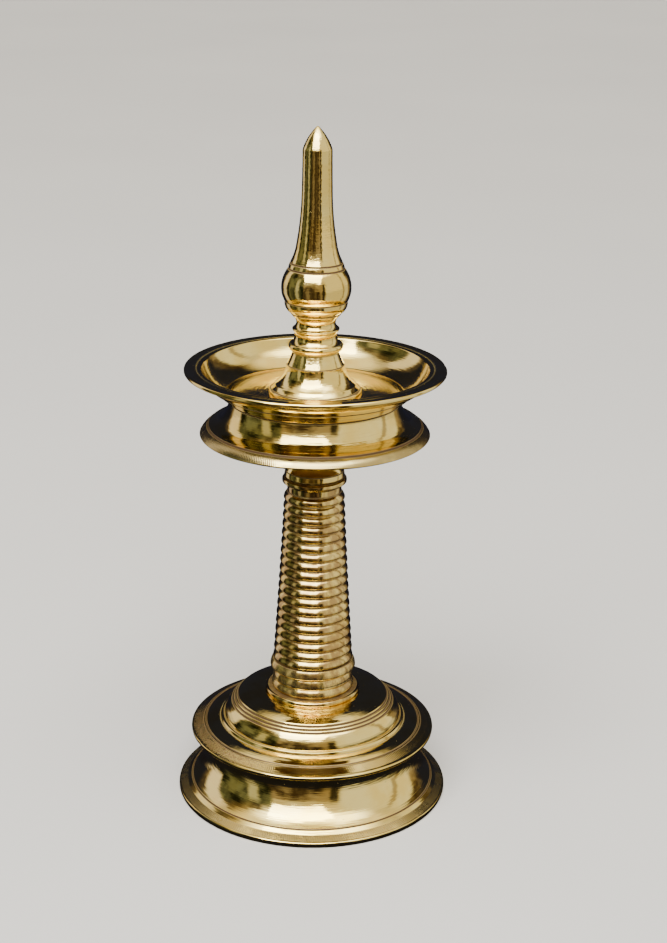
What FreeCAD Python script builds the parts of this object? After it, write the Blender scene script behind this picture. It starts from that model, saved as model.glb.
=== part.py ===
import FreeCAD, Part
import math
import os

from FreeCAD import Vector

# Brass standing oil lamp (samai), turned in sections that screw together.
# Millimetres, +Z up, origin at the middle of the circle that the foot stands on.
# Every section is a solid of revolution about Z. Each section starts at the plane
# that the section below it ends on, so the heights add up through the stack.
# Widths are measured along the radius, heights along the axis.

# ---------------------------------------------------------------- shared sizes
cast_wall = 2.0            # thickness of the cast shells
edge_round = 0.8           # rounding of the outer edges of lips and rims
score_width = 0.7          # width of a scored line cut with the corner of a tool
score_depth = 0.35
joint_chamfer = 0.5        # leaves a fine groove where two sections meet

# ------------------------------------------------------- threads, bores and fits
stud_radius = 5.0          # outside of the M10 thread
thread_clearance = 0.15    # radial gap of a stud in a tapped hole
passing_clearance = 0.6    # radial gap of a stud in a plain hole
stud_end_gap = 1.0         # room left past the end of a stud in its hole
stud_chamfer = 0.8
locating_clearance = 0.3   # radial gap of a locating spigot in its recess
locating_end_gap = 0.2
tapped_radius = stud_radius + thread_clearance
passing_radius = stud_radius + passing_clearance

# how far each stud reaches into the section named last
column_stud_in_post = 13.0
column_stud_in_column = 14.0
hub_stud_in_column = 12.5
hub_stud_in_hub = 12.0
finial_stud_in_hub = 12.5
finial_stud_in_finial = 16.0

# ------------------------------------------------------------------------- foot
foot_radius = 61.4
foot_bevel_width = 6.1     # outer edge of the lip to the scored line
foot_flare_width = 10.8    # scored line to the neck
foot_ring_width = 3.6      # flat ring that stands on the floor
foot_ring_height = 0.5     # inner edge of that ring
foot_lip_height = 2.5
foot_bevel_height = 3.0
foot_flare_height = 17.5
foot_flare_hollow = 2.6
foot_neck_height = 4.0
foot_web = 3.0             # plate across the neck
post_wall = 5.85           # metal round the tapped hole of the post inside the disc
post_seat_gap = 0.2
foot_line_radius = foot_radius - foot_bevel_width
foot_neck_radius = foot_line_radius - foot_flare_width
foot_line_height = foot_lip_height + foot_bevel_height
foot_height = foot_line_height + foot_flare_height + foot_neck_height

# ------------------------------------------------------------------- base disc
disc_overhang = 10.8       # beyond the neck of the foot
disc_seat_width = 2.6
disc_edge_rise = 2.3       # seat to the underside of the edge
disc_edge_thickness = 1.7
disc_rim_width = 6.2       # plain sloping rim, outside the scored line
disc_rim_height = 2.2
disc_shelf_width = 7.2     # shelf between the scored line and the bead
disc_shelf_height = 1.6
disc_bead = 1.3
dome_foot_width = 0.4      # bead to the shoulder
dome_foot_height = 0.4
dome_shoulder_width = 3.2
dome_shoulder_height = 6.2
dome_steps = 3             # scored steps above the shoulder
dome_step_width = 1.2
dome_step_height = 1.1
dome_crown_height = 1.8    # topmost step to the flat top
dome_flat_margin = 2.1     # flat top beyond the column's collar
dome_bow = 0.5
dome_top = 2.8             # thickness of the flat top

# ---------------------------------------------------------------------- column
column_height = 103.0
collar_radius = 21.5
collar_height = 2.3
collar_slope = 0.5
foot_rings = ((18.7, 4.1), (18.1, 4.7), (19.4, 4.9))   # crest radius and height of each lower ring
foot_ring_depth = 1.2
ring_pitch = 4.22          # plain rings of the tapered shaft
ring_depth = 1.5
ring_crest_share = 0.30    # how far up each ring its crest stands
ring_bow = 0.22
shaft_bottom_radius = 18.1     # crest of the lowest plain ring
shaft_top_radius = 13.4        # crest of the topmost ring
shaft_hollow = 0.2         # how far the taper dips inside a straight line
column_wall = 3.4          # metal round the cored middle, at the topmost ring
neck_radius = 12.0
neck_least_height = 3.0    # the neck takes what is left above the last whole ring
lip_overhang = 1.0         # beyond the foot of the hub
lip_height = 3.3
lip_flat = 0.9

# ------------------------------------------------------------- skirt and its hub
hub_height = 35.2          # column top to the seat of the dish
hub_wall = 4.85            # metal round the tapped holes
hub_foot_width = 3.3       # flare of the hub where it stands on the column
hub_flare_height = 11.7
hub_flare_hollow = 0.9
skirt_inset = 0.2          # neck of the skirt inside the base of the dish
skirt_neck_height = 0.7
skirt_flare_width = 3.4    # steep part below the neck
skirt_flare_height = 7.8
skirt_flare_hollow = 0.5
skirt_toe_width = 6.1      # from there it turns out to the scored line
skirt_toe_height = 3.0
skirt_toe_hollow = 0.75
skirt_band_width = 3.5     # scored line to the lower edge
skirt_band_height = 4.3
skirt_band_bow = 0.35
skirt_edge_width = 1.9
skirt_recess_floor = 1.8   # metal left under the recess of the spigot

# -------------------------------------------------------------------- oil dish
dish_radius = 56.8
dish_height = 14.0         # seat to the top of the rim
dish_floor = 3.1           # thickness of the floor
rim_width = 7.6
rim_thickness = 2.0
rim_ridge_width = 1.3
rim_ridge_height = 0.35
rim_ridge_inset = 2.6      # mouth to the middle of the ridge
dish_wall = 2.0
dish_wall_width = 10.6     # mouth to the edge of the floor
dish_wall_bow = 1.6
dish_base_width = 1.1      # bevel round the underside
dish_base_height = 1.2
spigot_radius = 14.0       # locates the dish in the skirt
spigot_height = 1.2

# -------------------------------------------------------------------- oil seal
seal_width = 10.4
seal_thickness = 1.5
seal_clearance = 0.4

# ----------------------------------- finial: heights in order from its foot to its tip
flange_wall = 3.7          # metal round the recess of the seal
flange_thickness = 2.2
flare_height = 10.6
flare_hollow = 1.6
flare_top_radius = 12.5
cone_height = 5.4
cone_top_radius = 10.0
collar_ring_radius = 11.8
collar_ring_thickness = 2.4
waist_height = 3.2
waist_radius = 9.1
cup_height = 3.1
cup_edge_radius = 10.15
upper_waist_height = 3.0
upper_waist_radius = 8.4
bulb_foot_height = 3.8
bulb_line_radius = 10.8
bulb_step_height = 5.6
bulb_step_radius = 13.6
bulb_lower_height = 5.0
bulb_radius = 15.05
bulb_upper_height = 8.9
lower_line_radius = 12.2
line_spacing = 2.4
upper_line_radius = 11.35
stem_foot_height = 9.6
stem_foot_radius = 8.4
stem_taper_height = 21.4
stem_radius = 6.5
stem_height = 17.2
point_radius = 6.2
point_height = 9.2
tip_radius = 0.4

# ------------------------------------------------- sizes that follow from the others
post_radius = tapped_radius + post_wall
disc_radius = foot_neck_radius + disc_overhang
dome_flat_radius = collar_radius + dome_flat_margin
hub_radius = tapped_radius + hub_wall
hub_foot_radius = hub_radius + hub_foot_width
lip_radius = hub_foot_radius + lip_overhang
core_radius = shaft_top_radius - ring_depth - column_wall
dish_mouth_radius = dish_radius - rim_width
dish_floor_radius = dish_mouth_radius - dish_wall_width
dish_base_radius = dish_floor_radius - dish_base_width
skirt_neck_radius = dish_base_radius - skirt_inset
skirt_toe_radius = skirt_neck_radius + skirt_flare_width
skirt_line_radius = skirt_toe_radius + skirt_toe_width
skirt_radius = skirt_line_radius + skirt_band_width
skirt_recess_depth = spigot_height + locating_end_gap
skirt_web = skirt_recess_depth + skirt_recess_floor
seal_radius = passing_radius + seal_width
seal_recess_radius = seal_radius + seal_clearance
flange_radius = seal_recess_radius + flange_wall

# ------------------------------------------------------- planes between sections
disc_seat = foot_height
disc_edge_top = disc_seat + disc_edge_rise + disc_edge_thickness
disc_line_height = disc_edge_top + disc_rim_height
disc_bead_height = disc_line_height + disc_shelf_height
dome_shoulder = disc_bead_height + disc_bead + dome_foot_height
dome_step = dome_shoulder + dome_shoulder_height
dome_crown = dome_step + dome_steps * dome_step_height
column_seat = dome_crown + dome_crown_height
hub_seat = column_seat + column_height
dish_seat = hub_seat + hub_height
finial_seat = dish_seat + dish_floor


class Outline:
    """Closed outline in the plane of the axis, walked with the metal on its left."""

    def __init__(self, radius, height):
        self.start = (radius, height)
        self.at = self.start
        self.edges = []

    def _middle(self, end, bow):
        run = (end[0] - self.at[0], end[1] - self.at[1])
        length = math.hypot(*run)
        out_of_metal = (run[1] / length, -run[0] / length)
        return tuple((a + b) / 2 + bow * n for a, b, n in zip(self.at, end, out_of_metal))

    def _add(self, end, middle=None):
        a = Vector(self.at[0], 0, self.at[1])
        b = Vector(end[0], 0, end[1])
        if middle is None:
            self.edges.append(Part.LineSegment(a, b).toShape())
        else:
            self.edges.append(Part.Arc(a, Vector(middle[0], 0, middle[1]), b).toShape())
        self.at = end

    def to(self, radius, height, bow=0.0):
        """Straight to a point, or along an arc that bows out of the metal."""
        end = (radius, height)
        self._add(end, self._middle(end, bow) if bow else None)

    def up(self, radius, rise, bow=0.0):
        """To a radius, this far above the present point."""
        self.to(radius, self.at[1] + rise, bow)

    def notch_to(self, radius, height, depth):
        """To a point through a V cut into the metal."""
        end = (radius, height)
        bottom = self._middle(end, -depth)
        self._add(bottom)
        self._add(end)

    def solid(self):
        self._add(self.start)
        face = Part.Face(Part.Wire(self.edges))
        turned = face.revolve(Vector(0, 0, 0), Vector(0, 0, 1), 360)
        if turned.Volume < 0:
            turned.reverse()
        return turned


def quarter(size):
    """Bow of a quarter-circle arc whose two legs are each this long."""
    return size * (1 - math.sqrt(0.5))


# ------------------------------------------------------------------------- foot
def foot():
    web_underside = foot_height - foot_web
    neck_inside = foot_neck_radius - cast_wall
    flare_top = foot_line_height + foot_flare_height
    post_top = column_seat - dome_top - post_seat_gap
    ring_inside = foot_radius - edge_round - foot_ring_width
    line_half = score_width / 2

    o = Outline(tapped_radius, web_underside)
    o.to(neck_inside, web_underside)
    o.to(neck_inside, flare_top - cast_wall / 2)
    o.to(foot_line_radius - cast_wall, foot_line_height - cast_wall / 2, foot_flare_hollow)
    o.to(ring_inside, foot_ring_height)
    o.to(ring_inside, 0)
    o.to(foot_radius - edge_round, 0)
    o.to(foot_radius, edge_round, quarter(edge_round))
    o.to(foot_radius, foot_lip_height - edge_round)
    o.to(foot_radius - edge_round, foot_lip_height, quarter(edge_round))
    o.to(foot_line_radius + line_half, foot_line_height)
    o.notch_to(foot_line_radius - line_half, foot_line_height + score_depth, score_depth)
    o.to(foot_neck_radius, flare_top, -foot_flare_hollow)
    o.to(foot_neck_radius, foot_height)
    o.to(post_radius, foot_height)
    o.to(post_radius, post_top)
    o.to(tapped_radius, post_top)
    return o.solid()


# ------------------------------------------------------------------- base disc
def base_disc():
    seat_outside = foot_neck_radius - edge_round
    seat_inside = seat_outside - disc_seat_width
    edge_under = disc_seat + disc_edge_rise
    line_radius = disc_radius - disc_rim_width
    bead_radius = line_radius - disc_shelf_width
    shoulder_radius = bead_radius - disc_bead - dome_foot_width
    step_radius = shoulder_radius - dome_shoulder_width
    crown_radius = step_radius - dome_steps * dome_step_width
    roof = column_seat - dome_top

    o = Outline(passing_radius, roof)
    o.to(crown_radius - cast_wall, roof)
    o.to(shoulder_radius - cast_wall, dome_shoulder - cast_wall, dome_bow)
    o.to(seat_inside, disc_edge_top)
    o.to(seat_inside, disc_seat)
    o.to(seat_outside, disc_seat)
    o.to(seat_outside, edge_under - edge_round)
    o.to(disc_radius - edge_round, edge_under)
    o.to(disc_radius, edge_under + edge_round, quarter(edge_round))
    o.to(disc_radius, disc_edge_top - edge_round / 2)
    o.to(disc_radius - edge_round / 2, disc_edge_top, quarter(edge_round / 2))
    o.to(line_radius, disc_line_height)
    o.notch_to(line_radius - score_width, disc_line_height, score_depth)
    o.to(bead_radius, disc_bead_height, dome_bow / 2)
    o.to(bead_radius - disc_bead, disc_bead_height + disc_bead, quarter(disc_bead))
    o.to(shoulder_radius, dome_shoulder)
    o.to(step_radius, dome_step, dome_bow)
    for step in range(dome_steps):
        radius, height = o.at
        o.notch_to(radius - dome_step_width, height + dome_step_height, score_depth)
    o.to(dome_flat_radius, column_seat, dome_bow)
    o.to(passing_radius, column_seat)
    return o.solid()


# ---------------------------------------------------------------------- column
def ring(outline, crest_radius, height, depth):
    """One ring: a short undercut below its crest, a long slope above it."""
    outline.up(crest_radius, ring_crest_share * height, ring_bow)
    outline.up(crest_radius - depth, (1 - ring_crest_share) * height, ring_bow)


def plain_ring_count():
    """Whole rings that fit between the lower rings and the neck."""
    lower = collar_height + sum(height for _, height in foot_rings)
    room = column_height - lower - lip_height - neck_least_height
    return int(room / ring_pitch)


def shaft_crest(share):
    """Crest radius of a plain ring, this share of the way up the shaft."""
    straight = shaft_bottom_radius + (shaft_top_radius - shaft_bottom_radius) * share
    return straight - 4 * shaft_hollow * share * (1 - share)


def column():
    top = column_seat + column_height
    upper_hole_floor = top - hub_stud_in_column - stud_end_gap
    lower_hole_roof = column_seat + column_stud_in_column + stud_end_gap
    rings = plain_ring_count()

    o = Outline(core_radius, upper_hole_floor)
    o.to(core_radius, lower_hole_roof)
    o.to(tapped_radius, lower_hole_roof)
    o.to(tapped_radius, column_seat)
    o.to(collar_radius - edge_round, column_seat)
    o.up(collar_radius, edge_round, quarter(edge_round))
    o.up(collar_radius - collar_slope, collar_height - edge_round)
    o.up(foot_rings[0][0] - foot_ring_depth, 0)
    for crest_radius, height in foot_rings:
        ring(o, crest_radius, height, foot_ring_depth)
    for index in range(rings):
        ring(o, shaft_crest(index / (rings - 1)), ring_pitch, ring_depth)
    o.up(neck_radius, joint_chamfer)
    o.to(neck_radius, top - lip_height)
    o.to(lip_radius, top - joint_chamfer - lip_flat * 2, -quarter(edge_round))
    o.up(lip_radius, lip_flat)
    o.to(hub_foot_radius - joint_chamfer, top, quarter(edge_round))
    o.to(tapped_radius, top)
    o.to(tapped_radius, upper_hole_floor)
    return o.solid()


# ------------------------------------------------------------- skirt and its hub
def skirt():
    web_underside = dish_seat - skirt_web
    flare_top = dish_seat - skirt_neck_height
    toe_top = flare_top - skirt_flare_height
    line_height = toe_top - skirt_toe_height
    lower_edge = line_height - skirt_band_height
    recess_radius = spigot_radius + locating_clearance
    recess_floor = dish_seat - skirt_recess_depth
    line_half = score_width / 2
    lower_hole_roof = hub_seat + hub_stud_in_hub + stud_end_gap
    upper_hole_floor = dish_seat - finial_stud_in_hub - stud_end_gap

    o = Outline(0, lower_hole_roof)
    o.to(tapped_radius, lower_hole_roof)
    o.to(tapped_radius, hub_seat)
    o.to(hub_foot_radius - joint_chamfer, hub_seat)
    o.up(hub_foot_radius, joint_chamfer)
    o.to(hub_radius, hub_seat + hub_flare_height, -hub_flare_hollow)
    o.to(hub_radius, web_underside)
    o.to(skirt_neck_radius - cast_wall, web_underside)
    o.to(skirt_toe_radius - cast_wall, toe_top - cast_wall / 2, skirt_flare_hollow)
    o.to(skirt_line_radius - cast_wall, line_height - cast_wall / 2, skirt_toe_hollow)
    o.to(skirt_radius - skirt_edge_width, lower_edge)
    o.to(skirt_radius - edge_round / 2, lower_edge)
    o.up(skirt_radius, edge_round / 2, quarter(edge_round / 2))
    o.to(skirt_line_radius + line_half, line_height - line_half, skirt_band_bow)
    o.notch_to(skirt_line_radius - line_half, line_height + line_half, score_depth)
    o.to(skirt_toe_radius, toe_top, -skirt_toe_hollow)
    o.to(skirt_neck_radius, flare_top, -skirt_flare_hollow)
    o.to(skirt_neck_radius, dish_seat)
    o.to(recess_radius, dish_seat)
    o.to(recess_radius, recess_floor)
    o.to(tapped_radius, recess_floor)
    o.to(tapped_radius, upper_hole_floor)
    o.to(0, upper_hole_floor)
    return o.solid()


# -------------------------------------------------------------------- oil dish
def oil_dish():
    rim_top = dish_seat + dish_height
    rim_under = rim_top - rim_thickness
    ridge_inside = dish_mouth_radius + rim_ridge_inset - rim_ridge_width / 2
    small_round = edge_round / 2

    o = Outline(passing_radius, dish_seat - spigot_height)
    o.to(spigot_radius, dish_seat - spigot_height)
    o.to(spigot_radius, dish_seat)
    o.to(dish_base_radius, dish_seat)
    o.up(dish_floor_radius, dish_base_height)
    o.to(dish_mouth_radius + dish_wall, rim_under, dish_wall_bow)
    o.to(dish_radius - edge_round, rim_under)
    o.up(dish_radius, edge_round, quarter(edge_round))
    o.to(dish_radius, rim_top - edge_round)
    o.up(dish_radius - edge_round, edge_round, quarter(edge_round))
    o.to(ridge_inside + rim_ridge_width, rim_top)
    o.to(ridge_inside, rim_top, rim_ridge_height)
    o.to(dish_mouth_radius + small_round, rim_top)
    o.to(dish_mouth_radius, rim_top - small_round, quarter(small_round))
    o.to(dish_floor_radius, finial_seat, -dish_wall_bow)
    o.to(passing_radius, finial_seat)
    return o.solid()


def oil_seal():
    o = Outline(passing_radius, finial_seat)
    o.to(seal_radius, finial_seat)
    o.up(seal_radius, seal_thickness)
    o.up(passing_radius, 0)
    return o.solid()


# ---------------------------------------------------------------------- finial
def finial():
    recess_roof = finial_seat + seal_thickness
    hole_roof = finial_seat + finial_stud_in_finial + stud_end_gap
    bead = flange_thickness / 2
    bead_bow = quarter(bead / 2)

    o = Outline(0, hole_roof)
    o.to(tapped_radius, hole_roof)
    o.to(tapped_radius, recess_roof)
    o.to(seal_recess_radius, recess_roof)
    o.to(seal_recess_radius, finial_seat)
    o.to(flange_radius - bead / 2, finial_seat)
    o.up(flange_radius, bead, bead_bow)
    o.up(flange_radius - bead / 2, bead, bead_bow)
    o.up(flare_top_radius, flare_height, -flare_hollow)
    o.up(cone_top_radius, cone_height)
    o.up(cone_top_radius, score_width)
    o.up(collar_ring_radius, score_width)
    o.up(collar_ring_radius, collar_ring_thickness)
    o.up(waist_radius, waist_height, -score_depth)
    o.up(cup_edge_radius, cup_height, -score_depth)
    o.up(upper_waist_radius, upper_waist_height, -score_depth)
    o.up(bulb_line_radius, bulb_foot_height, -score_depth)
    o.notch_to(bulb_line_radius + score_width, o.at[1] + score_width, score_depth)
    o.up(bulb_step_radius, bulb_step_height - score_width, score_width)
    o.up(bulb_radius, bulb_lower_height, score_depth)
    o.up(lower_line_radius, bulb_upper_height, score_width)
    o.notch_to(lower_line_radius - score_depth, o.at[1] + score_width, score_depth)
    o.up(upper_line_radius, line_spacing - score_width)
    o.notch_to(upper_line_radius - score_depth, o.at[1] + score_width, score_depth)
    o.up(stem_foot_radius, stem_foot_height - score_width, -score_depth)
    o.up(stem_radius, stem_taper_height, -score_depth)
    o.up(point_radius, stem_height)
    o.up(tip_radius, point_height, score_width)
    o.up(0, 0)
    return o.solid()


# ----------------------------------------------------------------------- studs
def stud(bottom, top):
    o = Outline(0, bottom)
    o.to(stud_radius - stud_chamfer, bottom)
    o.up(stud_radius, stud_chamfer)
    o.to(stud_radius, top - stud_chamfer)
    o.up(stud_radius - stud_chamfer, stud_chamfer)
    o.to(0, top)
    return o.solid()


def column_stud():
    return stud(column_seat - dome_top - column_stud_in_post, column_seat + column_stud_in_column)


def hub_stud():
    return stud(hub_seat - hub_stud_in_column, hub_seat + hub_stud_in_hub)


def finial_stud():
    return stud(dish_seat - finial_stud_in_hub, finial_seat + finial_stud_in_finial)


def write(name, solid):
    if not solid.isValid() or solid.Volume <= 0:
        raise ValueError(name + " is not a sound solid")
    solid.exportStep("parts/" + name + ".step")
    print(name, "volume_cm3=%.2f" % (solid.Volume / 1000))


os.makedirs("parts", exist_ok=True)
for piece in (foot, base_disc, column_stud, column, hub_stud, skirt, oil_dish, oil_seal, finial_stud, finial):
    write(piece.__name__, piece())
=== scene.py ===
import math

import bpy
import numpy as np
from mathutils import Matrix, Vector


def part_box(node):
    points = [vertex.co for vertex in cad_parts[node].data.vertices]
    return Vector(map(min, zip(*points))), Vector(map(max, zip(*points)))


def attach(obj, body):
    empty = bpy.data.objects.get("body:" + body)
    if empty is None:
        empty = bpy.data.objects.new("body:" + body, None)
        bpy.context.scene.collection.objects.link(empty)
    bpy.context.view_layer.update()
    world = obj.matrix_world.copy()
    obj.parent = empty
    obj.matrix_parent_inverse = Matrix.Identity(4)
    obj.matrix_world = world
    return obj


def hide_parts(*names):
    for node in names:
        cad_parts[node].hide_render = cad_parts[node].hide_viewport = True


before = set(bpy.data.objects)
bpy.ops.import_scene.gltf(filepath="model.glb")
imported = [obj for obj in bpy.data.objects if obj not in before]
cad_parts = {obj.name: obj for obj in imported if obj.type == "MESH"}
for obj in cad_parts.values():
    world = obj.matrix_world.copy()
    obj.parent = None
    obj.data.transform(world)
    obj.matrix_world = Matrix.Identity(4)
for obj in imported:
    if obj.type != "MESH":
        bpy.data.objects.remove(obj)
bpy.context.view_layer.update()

# Brass standing oil lamp (samai). Every section was turned on a lathe, so each is an outline turned
# round the lamp's axis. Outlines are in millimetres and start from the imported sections' own boxes.

mm = 0.001
turn_steps = 240          # facets round a large section
fine_turn_steps = 144     # facets round a slender one


# ------------------------------------------------------------------ node trees
class Wire:
    """A socket of a node tree that Python's own operators work on."""

    def __init__(self, tree, socket):
        self.tree = tree
        self.socket = socket

    def math(self, operation, *values, clamp=False):
        settings = {"operation": operation, "use_clamp": clamp}
        return add_node(self.tree, "ShaderNodeMath", settings, self, *values)

    def other(self, name):
        """Another output of the node that this socket is on."""
        return Wire(self.tree, find_socket(self.socket.node.outputs, name))

    def __add__(self, value):
        return self.math("ADD", value)

    def __sub__(self, value):
        return self.math("SUBTRACT", value)

    def __mul__(self, value):
        return self.math("MULTIPLY", value)

    def __truediv__(self, value):
        return self.math("DIVIDE", value)

    def __pow__(self, value):
        return self.math("POWER", value)

    def __neg__(self):
        return self * -1

    def __radd__(self, value):
        return self + value

    def __rmul__(self, value):
        return self * value

    def __rsub__(self, value):
        return add_node(self.tree, "ShaderNodeMath", {"operation": "SUBTRACT"}, value, self)

    def __rtruediv__(self, value):
        return add_node(self.tree, "ShaderNodeMath", {"operation": "DIVIDE"}, value, self)


def find_socket(sockets, key):
    """A socket by place, identifier or name."""
    if isinstance(key, int):
        return sockets[key]
    for socket in sockets:
        if socket.identifier == key and socket.enabled:
            return socket
    return next(socket for socket in sockets if socket.name == key and socket.enabled)


def add_node(tree, kind, settings=None, *values, out=0, **named):
    """A node with its settings, then the values or links of its sockets. Gives the socket called out."""
    node = tree.nodes.new(kind)
    for name, setting in (settings or {}).items():
        setattr(node, name, setting)
    for key, value in [*enumerate(values), *named.items()]:
        socket = find_socket(node.inputs, key.replace("_", " ") if isinstance(key, str) else key)
        if isinstance(value, Wire):
            tree.links.new(value.socket, socket)
        else:
            socket.default_value = value
    return Wire(tree, find_socket(node.outputs, out)) if len(node.outputs) else None


def smooth_step(value, low, high):
    """0 below low, 1 above high, and a smooth rise between. Falls instead if low is above high."""
    settings = {"interpolation_type": "SMOOTHSTEP", "clamp": True}
    ends = (low, high, 0, 1) if low < high else (high, low, 1, 0)
    return add_node(value.tree, "ShaderNodeMapRange", settings, value, *ends)


def mix_colour(share, first, second):
    """From the first colour to the second as share goes from 0 to 1."""
    node = share.tree.nodes.new("ShaderNodeMix")
    node.data_type = "RGBA"
    ends = {"Factor_Float": share, "A_Color": first, "B_Color": second}
    for key, value in ends.items():
        socket = next(s for s in node.inputs if s.identifier == key)
        if isinstance(value, Wire):
            share.tree.links.new(value.socket, socket)
        else:
            socket.default_value = (*value, 1)
    return Wire(share.tree, next(s for s in node.outputs if s.identifier == "Result_Color"))


# ------------------------------------------------------------------- materials
class Surface:
    """A material under construction, with the coordinates that turned work needs, in millimetres."""

    def __init__(self, name):
        self.material = bpy.data.materials.new(name)
        self.material.use_nodes = True
        self.tree = self.material.node_tree
        self.shader = self.tree.nodes["Principled BSDF"]
        place = self.node("ShaderNodeTexCoord", out="Object")
        self.place = self.node("ShaderNodeVectorMath", {"operation": "SCALE"}, place, Scale=1 / mm)
        self.x = self.node("ShaderNodeSeparateXYZ", None, self.place)
        self.y = self.x.other("Y")
        self.z = self.x.other("Z")
        self.radius = (self.x * self.x + self.y * self.y).math("SQRT").math("MAXIMUM", 0.01)
        self.side = self.x / self.radius
        self.front = self.y / self.radius

    def node(self, kind, settings=None, *values, out=0, **named):
        return add_node(self.tree, kind, settings, *values, out=out, **named)

    def attribute(self, name):
        return self.node("ShaderNodeAttribute", {"attribute_name": name}, out="Fac")

    def speckle(self, pitch, detail=2.0, roughness=0.5, stretch=(1, 1, 1)):
        """Noise from 0 to 1 whose grain is about pitch across."""
        scale = tuple(s / pitch for s in stretch)
        place = self.node("ShaderNodeVectorMath", {"operation": "MULTIPLY"}, self.place, scale)
        return self.node("ShaderNodeTexNoise", None, place, Scale=1, Detail=detail, Roughness=roughness)

    def lathe_lines(self, pitch, breaks=1.0, detail=1.0):
        """Noise from 0 to 1 that runs round the axis in lines about pitch apart.

        breaks is how often a line changes on its way round."""
        across = self.node(
            "ShaderNodeCombineXYZ", None, self.side * breaks, self.front * breaks, self.z / pitch
        )
        settings = {"noise_dimensions": "4D"}
        return self.node(
            "ShaderNodeTexNoise", settings, across, W=self.radius / pitch, Scale=1, Detail=detail
        )

    def toward(self, degrees, half_width, soft):
        """1 on the side that faces this way round the axis, 0 elsewhere. 0 degrees is +X and 90 is +Y."""
        angle = math.radians(degrees)
        facing = self.side * math.cos(angle) + self.front * math.sin(angle)
        inner = math.cos(math.radians(half_width))
        outer = math.cos(math.radians(half_width + soft))
        return smooth_step(facing, outer, inner)

    def relief(self, height):
        """A height in millimetres as bump."""
        bump = self.node("ShaderNodeBump", None, Strength=1.0, Distance=mm, Height=height)
        self.tree.links.new(bump.socket, self.shader.inputs["Normal"])

    def set(self, **values):
        for name, value in values.items():
            socket = self.shader.inputs[name.replace("_", " ")]
            if isinstance(value, Wire):
                self.tree.links.new(value.socket, socket)
            else:
                socket.default_value = (*value, 1) if isinstance(value, tuple) else value
        return self.material


pale_brass = (0.95, 0.77, 0.28)
rich_brass = (0.90, 0.67, 0.18)
cast_brass = (0.50, 0.34, 0.15)
# painted shade: the brown that stands for the dish's shade on the column
painted_shade_brown = (0.37, 0.23, 0.095)
brown_tarnish = (0.10, 0.055, 0.022)


def polished_brass(name, lines=1.0, haze=1.0, painted_shade=0.0, ripples=360, mottle=None):
    """Hand polished cast brass. lines is how strongly the lathe shows, haze how cloudy the polish is.

    painted_shade is how much blotchy brown painted shade the brass gets, standing for the dish's shade over
    the column.
    ripples is how many chatter marks go round where the tool sang. mottle is (degrees, inside, outside)."""
    s = Surface(name)
    soil = s.attribute("soil")
    rough = s.attribute("rough")
    chatter = s.attribute("chatter")

    fine = s.lathe_lines(0.16, breaks=1.6)
    medium = s.lathe_lines(0.55, breaks=2.2, detail=2.0)
    wobble = s.lathe_lines(1.3, breaks=9.0, detail=1.0)
    wave = s.lathe_lines(4.5, breaks=0.7)
    cloud = s.speckle(14, detail=3.0)
    smear = s.speckle(3.2, detail=3.0, stretch=(1, 1, 0.45))
    grain = s.speckle(0.45, detail=3.0, roughness=0.6)
    skin = s.speckle(1.6, detail=4.0, roughness=0.65)

    pits = s.node("ShaderNodeTexVoronoi", {"voronoi_dimensions": "3D"}, s.place, Scale=0.42, Randomness=1.0)
    chance = s.node("ShaderNodeSeparateColor", None, pits.other("Color"))
    pit = smooth_step(pits, 0.085, 0.045) * smooth_step(chance, 0.80, 0.86)

    turn = s.front.math("ARCTAN2", s.side)
    phase = turn * ripples + s.z * 2.6 + (cloud - 0.5) * 5
    # the chatter band: dulled by the tool in roughness, and darkened with painted shade in colour below
    wear_and_shade = smooth_step(cloud, 0.30, 0.52) * chatter
    hatch = phase.math("SINE") * wear_and_shade

    dirt_line = (soil * 1.35 - 0.25 + (grain - 0.5) * 0.55).math("MULTIPLY", 1.0, clamp=True)
    hue = mix_colour(smooth_step(cloud, 0.36, 0.66), pale_brass, rich_brass)
    hue = mix_colour(smooth_step(medium, 0.52, 0.80) * 0.30, hue, (0.80, 0.56, 0.20))
    cast_hue = mix_colour(skin, (0.30, 0.19, 0.08), cast_brass)
    hue = mix_colour(smooth_step(rough + (skin - 0.5) * 0.3, 0.35, 0.85), hue, cast_hue)
    # painted shade: browns the brass in blotches where the dish shades the column
    hue = mix_colour(smooth_step(smear, 0.75, 0.35) * painted_shade, hue, painted_shade_brown)
    # painted shade: the chatter band and its hatch stripes are darkened for the dark room they mirror
    hue = mix_colour(wear_and_shade * 0.60 + smooth_step(hatch, -0.2, 0.9) * 0.22, hue, (0.34, 0.27, 0.14))
    hue = mix_colour((dirt_line + pit * 0.8).math("MINIMUM", 1.0), hue, brown_tarnish)

    roughness = 0.040 + smooth_step(fine, 0.45, 0.85) * (0.04 * lines)
    roughness = roughness + smooth_step(smear, 0.50, 0.78) * (0.05 * haze) + cloud * (0.030 * haze)
    roughness = roughness + rough * 0.42 + dirt_line * 0.45 + pit * 0.3 + wear_and_shade * 0.16 + 0.05 * painted_shade

    turned = (fine - 0.5) * (0.0022 * lines) + (medium - 0.5) * (0.040 * lines) + (wave - 0.5) * 0.050
    turned = turned + (wobble - 0.5) * (0.050 * lines)
    height = turned * (1 - rough * 0.5) + grain * (rough * 0.05) + skin * (rough * rough * 0.35)
    height = height - pit * 0.05 + hatch * 0.011

    if mottle:
        degrees, inside, outside = mottle
        patch = s.toward(degrees, 24, 22) * smooth_step(s.radius, inside, inside + 0.6)
        patch = patch * smooth_step(s.radius, outside, outside - 0.6)
        spots = smooth_step(s.speckle(0.9, detail=2.0, roughness=0.7), 0.47, 0.60) * patch
        hue = mix_colour(spots * 0.75, hue, (0.30, 0.15, 0.08))
        roughness = roughness + patch * 0.12 + spots * 0.22
        height = height + spots * 0.03
    s.relief(height)
    return s.set(Base_Color=hue, Metallic=1.0 - dirt_line * 0.6, Roughness=roughness.math("MINIMUM", 0.9))


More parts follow.
